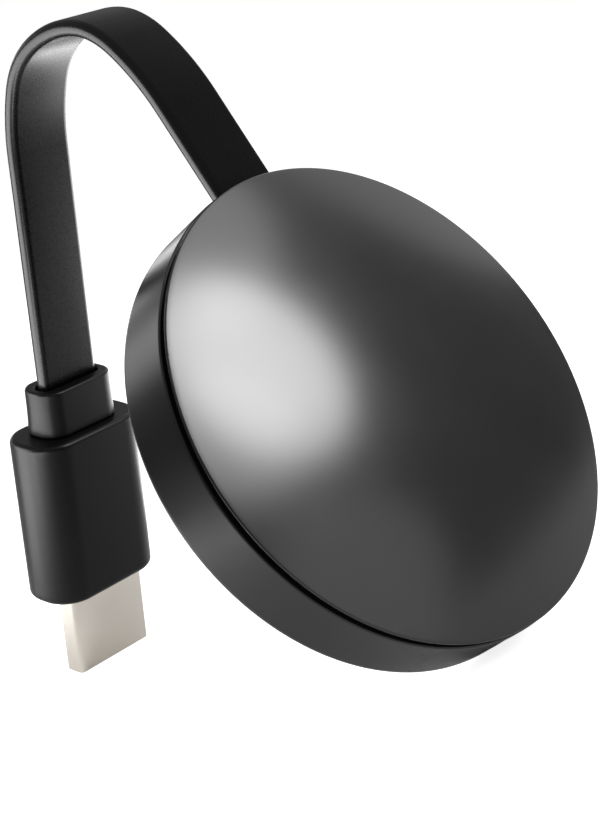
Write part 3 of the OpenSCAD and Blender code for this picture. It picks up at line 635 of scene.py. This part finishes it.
def makeRelief(s):
    size = (s["width"], s["depth"], s["corner"])
    rings = [ringAlong(boxOutline(*s["slot"]), s["end"])]
    rings += [ringAlong(boxOutline(s["flangeWidth"], s["flangeDepth"], s["corner"]), y)
              for y in (s["end"], s["flangeStart"])]
    rings += [ringAlong(grown(*size, s["neck"]), y) for y in (s["flangeStart"], s["foot"])]
    for r, y in arc((s["flare"] - s["footRound"], s["foot"] - s["footRound"]), s["footRound"], 90, 0, 7):
        rings.append(ringAlong(grown(*size, r), y))
    mouth = s["mouthRound"]
    for k in range(1, s["flareSteps"]):
        t = k / s["flareSteps"]
        rings.append(ringAlong(grown(*size, s["flare"] * (1 - t) ** s["flarePower"]),
                               (s["foot"] - s["footRound"]) * (1 - t) + (s["rimRound"] + mouth) * t))
    for r, y in arc((-s["rimRound"], s["rimRound"]), s["rimRound"], 0, -90, 7):
        rings.append(ringAlong(grown(*size, r), y))
    inner = s["recess"]
    for r, y in arc((mouth, mouth), mouth, -90, -180, 5):
        rings.append(ringAlong(grown(*inner, r), y))
    rings.append(ringAlong(boxOutline(*inner), s["recessDepth"] - mouth))
    rings.append(ringAlong(grown(*inner, -mouth), s["recessDepth"]))
    rings.append(ringAlong(boxOutline(*s["slot"]), s["recessDepth"]))
    mesh = bmesh.new()
    loftRings(mesh, rings, loop=True)
    return placedPiece("strainReliefCollar", mesh, plugFrame)


relief = dress(makeRelief(reliefSizes), "relief_rubber", "plug")
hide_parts("strain_relief")


# the grip: a hollow rounded block round the plug

gripSizes = {"width": 19.8, "depth": 10.8, "corner": 4.8, "start": 6.8, "end": 31.4, "topRound": 0.75,
             "footRound": 0.95, "wall": 1.2, "cavityCorner": 3.6, "topHole": (13.4, 7.0, 2.95),
             "shellHole": (14.1, 4.65, 0.75), "shellOffset": 1.0, "flatIn": 0.15, "edgeRun": 0.4}


def makeGrip(s):
    size = (s["width"], s["depth"], s["corner"])
    top, foot, run = s["topRound"], s["footRound"], s["edgeRun"]
    rings = [ringAlong(boxOutline(*s["topHole"]), s["start"])]
    rings.append(ringAlong(grown(*size, -top - s["flatIn"]), s["start"]))
    rings += [ringAlong(grown(*size, r), s["start"] + y) for r, y in arc((-top, top), top, -90, 0, 9)]
    rings += [ringAlong(boxOutline(*size), y) for y in (s["start"] + top + run, s["end"] - foot - run)]
    rings += [ringAlong(grown(*size, r), s["end"] + y) for r, y in arc((-foot, -foot), foot, 0, 90, 9)]
    rings.append(ringAlong(grown(*size, -foot - s["flatIn"]), s["end"]))
    hole = boxOutline(*s["shellHole"])
    rings += [ringAlong(hole, y, -s["shellOffset"]) for y in (s["end"], s["end"] - s["wall"])]
    cavity = boxOutline(s["width"] - 2 * s["wall"], s["depth"] - 2 * s["wall"], s["cavityCorner"])
    rings += [ringAlong(cavity, s["end"] - s["wall"]), ringAlong(cavity, s["start"] + s["wall"])]
    rings.append(ringAlong(boxOutline(*s["topHole"]), s["start"] + s["wall"]))
    mesh = bmesh.new()
    loftRings(mesh, rings, loop=True)
    return placedPiece("plugGripBody", mesh, plugFrame)


grip = dress(makeGrip(gripSizes), "grip_plastic", "plug")
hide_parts("plug_grip")
print("collar and grip made")


# the plug's shell: bent sheet, full width towards the puck and slanted in on the outer side

shellSizes = {"width": 13.9, "height": 4.45, "narrow": 10.6, "slant": 1.6, "sheet": 0.35, "start": 23.2,
              "end": 43.4, "bendRadius": 0.65, "lip": 0.1, "lipRun": 0.2, "offset": 1.0}


def tubeOfSheet(name, s, place):
    inset, lip, edge = s["sheet"], s["lip"], s["end"] - s["lip"]

    def ring(by, y):
        outline = plugOutline(s["width"] - 2 * by, s["height"] - 2 * by, s["narrow"] - by, s["slant"],
                              max(s["bendRadius"] - by, 0.08))
        return ringAlong(outline, y, -s["offset"])

    rounding = arc((0, 0), lip, 0, 90, 4)
    rings = [ring(0, s["start"]), ring(0, edge - s["lipRun"])]
    rings += [ring(lip - r, edge + y) for r, y in rounding]
    rings += [ring(inset - lip + r, edge + y) for r, y in reversed(rounding)]
    rings += [ring(inset, edge - s["lipRun"]), ring(inset, s["start"])]
    mesh = bmesh.new()
    loftRings(mesh, rings, loop=True)
    return placedPiece(name, mesh, place)


shell = dress(tubeOfSheet("plugShellSheet", shellSizes, plugFrame), "shell_metal", "plug")
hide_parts("plug_shell")

socketSizes = {"width": 7.5, "height": 2.6, "narrow": 5.4, "slant": 0.8, "sheet": 0.3, "start": 25.9,
               "end": 31.5, "bendRadius": 0.45, "lip": 0.08, "lipRun": 0.2, "offset": 0.0, "middle": 5.7}
socketFrame = (puckFrame @ Matrix.Rotation(math.pi, 4, "Z")
               @ Matrix.Translation((0, 0, socketSizes["middle"] * mm)) @ Matrix.Rotation(math.pi, 4, "Y"))
socket = dress(tubeOfSheet("powerSocketSheet", socketSizes, socketFrame), "tinned_steel", "puck")
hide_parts("usb_shell")
print("sheet metal made")


# reset button and light pipe in the band

buttonSizes = {"angle": -58, "height": 5.9, "radius": 1.7, "stemIn": 27.5, "stemRadius": 1.0, "flangeIn": 28.2,
               "flangeOut": 28.8, "flangeRadius": 2.3, "face": 32.35, "round": 0.3, "dish": 0.12,
               "dishSteps": 8, "seam": 0.1, "edgeRun": 0.2}


def makeButton(s):
    profile = [(0, s["stemIn"]), (s["stemRadius"], s["stemIn"]), (s["stemRadius"], s["flangeIn"]),
               (s["flangeRadius"], s["flangeIn"]), (s["flangeRadius"], s["flangeOut"] - s["seam"]),
               (s["radius"], s["flangeOut"] - s["seam"]), (s["radius"], s["face"] - s["round"] - s["edgeRun"])]
    profile += arc((s["radius"] - s["round"], s["face"] - s["round"]), s["round"], 0, 90, 8)
    for k in range(1, s["dishSteps"] + 1):                  # a shallow finger dish
        t = k / s["dishSteps"]
        profile.append(((s["radius"] - s["round"]) * (1 - t),
                        s["face"] - s["dish"] * (1 - math.cos(math.pi * t)) / 2))
    mesh = bmesh.new()
    latheProfile(mesh, profile, 64)
    return placedPiece("resetButtonCap", mesh, radialFrame(s["angle"], s["height"]))


button = dress(makeButton(buttonSizes), "button_plastic", "button")
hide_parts("reset_button")

lightSizes = {"angle": -38, "height": 5.0, "radius": 0.8, "inner": 26.65, "face": 31.95, "dome": 0.12,
              "domeSteps": 6}


def makeLight(s):
    profile = [(0, s["inner"]), (s["radius"], s["inner"]), (s["radius"], s["face"] - s["dome"])]
    for k in range(1, s["domeSteps"] + 1):
        turn = math.pi / 2 * k / s["domeSteps"]
        profile.append((s["radius"] * math.cos(turn) if k < s["domeSteps"] else 0.0,
                        s["face"] - s["dome"] + s["dome"] * math.sin(turn)))
    mesh = bmesh.new()
    latheProfile(mesh, profile, 40)
    return placedPiece("lightPipeRod", mesh, radialFrame(s["angle"], s["height"]))


light = dress(makeLight(lightSizes), "light_plastic", "puck")
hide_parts("light_pipe")
print("button and light made")


# rows of contacts, repeated by Geometry Nodes

rowSizes = {"plug": {"width": 0.4, "thickness": 0.16, "pitch": 1.0, "from": 22.2, "to": 42.0, "count": (10, 9),
                     "lift": (-2.08, 0.08), "round": 0.03},
            "power": {"width": 0.35, "thickness": 0.1, "pitch": 0.65, "from": 26.9, "to": 29.95, "count": 5,
                      "lift": 0.35, "round": 0.02}}


def rowTree():
    tree = bpy.data.node_groups.new("contactRow", "GeometryNodeTree")
    tree.interface.new_socket("Base", in_out="INPUT", socket_type="NodeSocketGeometry")
    tree.interface.new_socket("Count", in_out="INPUT", socket_type="NodeSocketInt").default_value = 5
    for name in ("Pitch", "Width", "Thickness", "Length", "From", "Lift"):
        tree.interface.new_socket(name, in_out="INPUT", socket_type="NodeSocketFloat").default_value = 0.001
    tree.interface.new_socket("Finish", in_out="INPUT", socket_type="NodeSocketMaterial")
    tree.interface.new_socket("Row", in_out="OUTPUT", socket_type="NodeSocketGeometry")
    nodes, links = tree.nodes, tree.links
    given, result = nodes.new("NodeGroupInput"), nodes.new("NodeGroupOutput")

    def maths(operation, first, second):
        node = nodes.new("ShaderNodeMath")
        node.operation = operation
        for k, value in enumerate((first, second)):
            if isinstance(value, (int, float)):
                node.inputs[k].default_value = value
            else:
                links.new(value, node.inputs[k])
        return node.outputs[0]

    def vector(x, y, z):
        node = nodes.new("ShaderNodeCombineXYZ")
        for k, value in enumerate((x, y, z)):
            if not isinstance(value, (int, float)):
                links.new(value, node.inputs[k])
        return node.outputs[0]

    reach = maths("MULTIPLY", maths("SUBTRACT", given.outputs["Count"], 1), given.outputs["Pitch"])
    first = maths("MULTIPLY", reach, -0.5)
    middle = maths("ADD", given.outputs["From"], maths("MULTIPLY", given.outputs["Length"], 0.5))
    line = nodes.new("GeometryNodeMeshLine")
    line.mode = "OFFSET"
    bar = nodes.new("GeometryNodeMeshCube")
    row = nodes.new("GeometryNodeInstanceOnPoints")
    realized, finished = nodes.new("GeometryNodeRealizeInstances"), nodes.new("GeometryNodeSetMaterial")
    links.new(given.outputs["Count"], line.inputs["Count"])
    links.new(vector(first, middle, given.outputs["Lift"]), line.inputs["Start Location"])
    links.new(vector(given.outputs["Pitch"], 0, 0), line.inputs["Offset"])
    links.new(vector(*(given.outputs[name] for name in ("Width", "Length", "Thickness"))), bar.inputs["Size"])
    links.new(line.outputs["Mesh"], row.inputs["Points"])
    links.new(bar.outputs["Mesh"], row.inputs["Instance"])
    links.new(row.outputs["Instances"], realized.inputs["Geometry"])
    links.new(realized.outputs["Geometry"], finished.inputs["Geometry"])
    links.new(given.outputs["Finish"], finished.inputs["Material"])
    links.new(finished.outputs["Geometry"], result.inputs["Row"])
    return tree


def contactRow(name, tree, s, count, lift):
    piece = bpy.data.objects.new(name, bpy.data.meshes.new(name))
    bpy.context.collection.objects.link(piece)
    return baked(piece, tree, {"Count": count, "Pitch": s["pitch"] * mm, "Width": s["width"] * mm,
                               "Thickness": s["thickness"] * mm, "Length": (s["to"] - s["from"]) * mm,
                               "From": s["from"] * mm, "Lift": lift * mm, "Finish": finishes["contact_gold"]})


def softenedRow(piece, others, place, ease):
    if others:
        joined(piece, others)
    mesh = bmesh.new()
    mesh.from_mesh(piece.data)
    bmesh.ops.bevel(mesh, geom=list(mesh.edges), offset=ease * mm, segments=2, affect="EDGES")
    mesh.to_mesh(piece.data)
    mesh.free()
    piece.data.transform(place)
    smoothed(piece.data)
    return piece


contactTree = rowTree()
size = rowSizes["plug"]
plugRows = [contactRow("plugContactRow%d" % k, contactTree, size, size["count"][k], size["lift"][k])
            for k in (0, 1)]
plugContacts = dress(softenedRow(plugRows[0], plugRows[1:], plugFrame, size["round"]), "contact_gold", "plug")
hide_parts("plug_contacts")
size = rowSizes["power"]
powerContacts = contactRow("powerContactRow", contactTree, size, size["count"], size["lift"])
dress(softenedRow(powerContacts, [], socketFrame, size["round"]), "contact_gold", "puck")
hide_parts("usb_contacts")
print("contact rows made")


# camera, floor and light

cameraSizes = {"place": (-0.1721182, -0.18968716, 0.07465345), "lens": 118.0, "sensor": 36.0,
               "x": (0.64309, -0.70438135, -0.30046004), "y": (0.33103, -0.09809904, 0.93850857),
               "z": (-0.69055, -0.70300528, 0.17009328)}
cameraData = bpy.data.cameras.new("photoCamera")
cameraData.lens, cameraData.sensor_width = cameraSizes["lens"], cameraSizes["sensor"]
cameraData.sensor_fit = "HORIZONTAL"
cameraData.clip_start = 0.01
camera = bpy.data.objects.new("photoCamera", cameraData)
bpy.context.collection.objects.link(camera)
view = Matrix((cameraSizes["x"], cameraSizes["y"], cameraSizes["z"])).transposed()
camera.matrix_world = Matrix.Translation(cameraSizes["place"]) @ view.to_4x4()
bpy.context.scene.camera = camera

floorSizes = {"half": 4, "level": 0.62, "lift": 0.82}
half = floorSizes["half"]
floorMesh = bpy.data.meshes.new("floor")
floorMesh.from_pydata([(-half, -half, 0), (half, -half, 0), (half, half, 0), (-half, half, 0)], [], [(0, 1, 2, 3)])
floor = bpy.data.objects.new("floor", floorMesh)
bpy.context.collection.objects.link(floor)


def floorPaper(level, lift):
    finish = bpy.data.materials.new("floorPaper")
    finish.use_nodes = True
    tree = finish.node_tree
    tree.nodes.clear()
    paper, glow = tree.nodes.new("ShaderNodeBsdfDiffuse"), tree.nodes.new("ShaderNodeEmission")
    both, end, rays = (tree.nodes.new("ShaderNodeAddShader"), tree.nodes.new("ShaderNodeOutputMaterial"),
                       tree.nodes.new("ShaderNodeLightPath"))
    scaled = tree.nodes.new("ShaderNodeMath")
    scaled.operation = "MULTIPLY"
    scaled.inputs[1].default_value = lift
    paper.inputs["Color"].default_value = (level, level, level, 1)
    tree.links.new(rays.outputs["Is Camera Ray"], scaled.inputs[0])
    tree.links.new(scaled.outputs[0], glow.inputs["Strength"])
    tree.links.new(paper.outputs[0], both.inputs[0])
    tree.links.new(glow.outputs[0], both.inputs[1])
    tree.links.new(both.outputs[0], end.inputs["Surface"])
    return finish


floor.data.materials.append(floorPaper(floorSizes["level"], floorSizes["lift"]))

lampDefaults = {"aim": (0, 0, 0.035), "distance": 0.8, "shape": "ELLIPSE"}
lampSizes = {
    "keyLamp": {"azimuth": 31, "elevation": 33, "size": (0.31, 0.35), "power": 4.2},
    "keyFill": {"azimuth": 19, "elevation": 29.5, "size": (0.24, 0.24), "power": 0.7},
    "keyHead": {"azimuth": 40, "elevation": 46, "size": (0.5, 0.26), "power": 0.95},
    "sideFill": {"azimuth": 98, "elevation": 30, "size": (0.75, 0.7), "power": 1.2},
    "backLamp": {"azimuth": 155, "elevation": 11, "size": (0.25, 0.25), "power": 0.6},
    "backFill": {"azimuth": -174, "elevation": 22, "size": (0.25, 0.25), "power": 0.35},
    "stripLamp": {"azimuth": -130, "elevation": -2, "size": (0.08, 0.11), "power": 0.26,
                  "aim": (-0.005, 0.025, 0.05), "distance": 0.1, "shape": "RECTANGLE"},
    "lowLamp": {"azimuth": -88, "elevation": -13, "size": (0.08, 0.035), "power": 0.1,
                "aim": (-0.009, 0.029, 0.028), "distance": 0.08, "shape": "RECTANGLE"},
    "keyFoot": {"azimuth": 20, "elevation": 6, "size": (0.45, 0.3), "power": 0.4},
    "archLamp": {"azimuth": 100, "elevation": -42, "size": (0.12, 0.12), "power": 0.2,
                 "aim": (0, 0.012, 0.084), "distance": 0.113},
}


def flagOff(name, pieces):
    shaded = bpy.data.collections.new(name)
    for piece in pieces:
        shaded.objects.link(piece)
    for member in shaded.collection_objects:
        member.light_linking.link_state = "EXCLUDE"
    return shaded


flags = {"keyLamp": flagOff("leadFlag", ribbons), "stripLamp": flagOff("puckFlag", [band, cover]),
         "sideFill": flagOff("sideFlag", ribbons + [band])}
flags["keyFill"] = flags["keyFoot"] = flags["keyHead"] = flags["keyLamp"]
flags["lowLamp"] = flags["stripLamp"]
for name, own in lampSizes.items():
    s = {**lampDefaults, **own}
    lampData = bpy.data.lights.new(name, "AREA")
    lampData.shape, lampData.energy = s["shape"], s["power"]
    lampData.size, lampData.size_y = s["size"]
    lamp = bpy.data.objects.new(name, lampData)
    bpy.context.collection.objects.link(lamp)
    lamp.visible_camera = False
    if name in flags:                                       # a flag keeps this lamp off some pieces
        lamp.light_linking.receiver_collection = flags[name]
    a, e = math.radians(s["azimuth"]), math.radians(s["elevation"])
    away = Vector((math.sin(a) * math.cos(e), -math.cos(a) * math.cos(e), math.sin(e)))
    turned = away.to_track_quat("Z", "Y").to_matrix().to_4x4()
    lamp.matrix_world = Matrix.Translation(Vector(s["aim"]) + away * s["distance"]) @ turned

worldSizes = {"plain": 0.42, "dim": 0.1, "bright": 0.5}
world = bpy.data.worlds.new("studio")
bpy.context.scene.world = world
world.use_nodes = True
tree = world.node_tree
backdrop = tree.nodes["Background"]
backdrop.inputs["Color"].default_value = (1, 1, 1, 1)
rays, place, split = (tree.nodes.new("ShaderNodeLightPath"), tree.nodes.new("ShaderNodeTexCoord"),
                      tree.nodes.new("ShaderNodeSeparateXYZ"))
tree.links.new(place.outputs["Generated"], split.inputs[0])
above = tree.nodes.new("ShaderNodeMapRange")                # a bright ceiling over a dim room
above.inputs["From Min"].default_value, above.inputs["From Max"].default_value = 0.0, 1.0
above.inputs["To Min"].default_value, above.inputs["To Max"].default_value = worldSizes["dim"], worldSizes["bright"]
tree.links.new(split.outputs["Z"], above.inputs["Value"])
glossy = tree.nodes.new("ShaderNodeMix")
glossy.inputs["A"].default_value = worldSizes["plain"]
tree.links.new(rays.outputs["Is Glossy Ray"], glossy.inputs["Factor"])
tree.links.new(above.outputs["Result"], glossy.inputs["B"])
seen = tree.nodes.new("ShaderNodeMix")
seen.inputs["B"].default_value = 1.0
tree.links.new(rays.outputs["Is Camera Ray"], seen.inputs["Factor"])
tree.links.new(glossy.outputs["Result"], seen.inputs["A"])
tree.links.new(seen.outputs["Result"], backdrop.inputs["Strength"])
bpy.context.scene.view_settings.view_transform = "Standard"
print("camera, floor and light made")
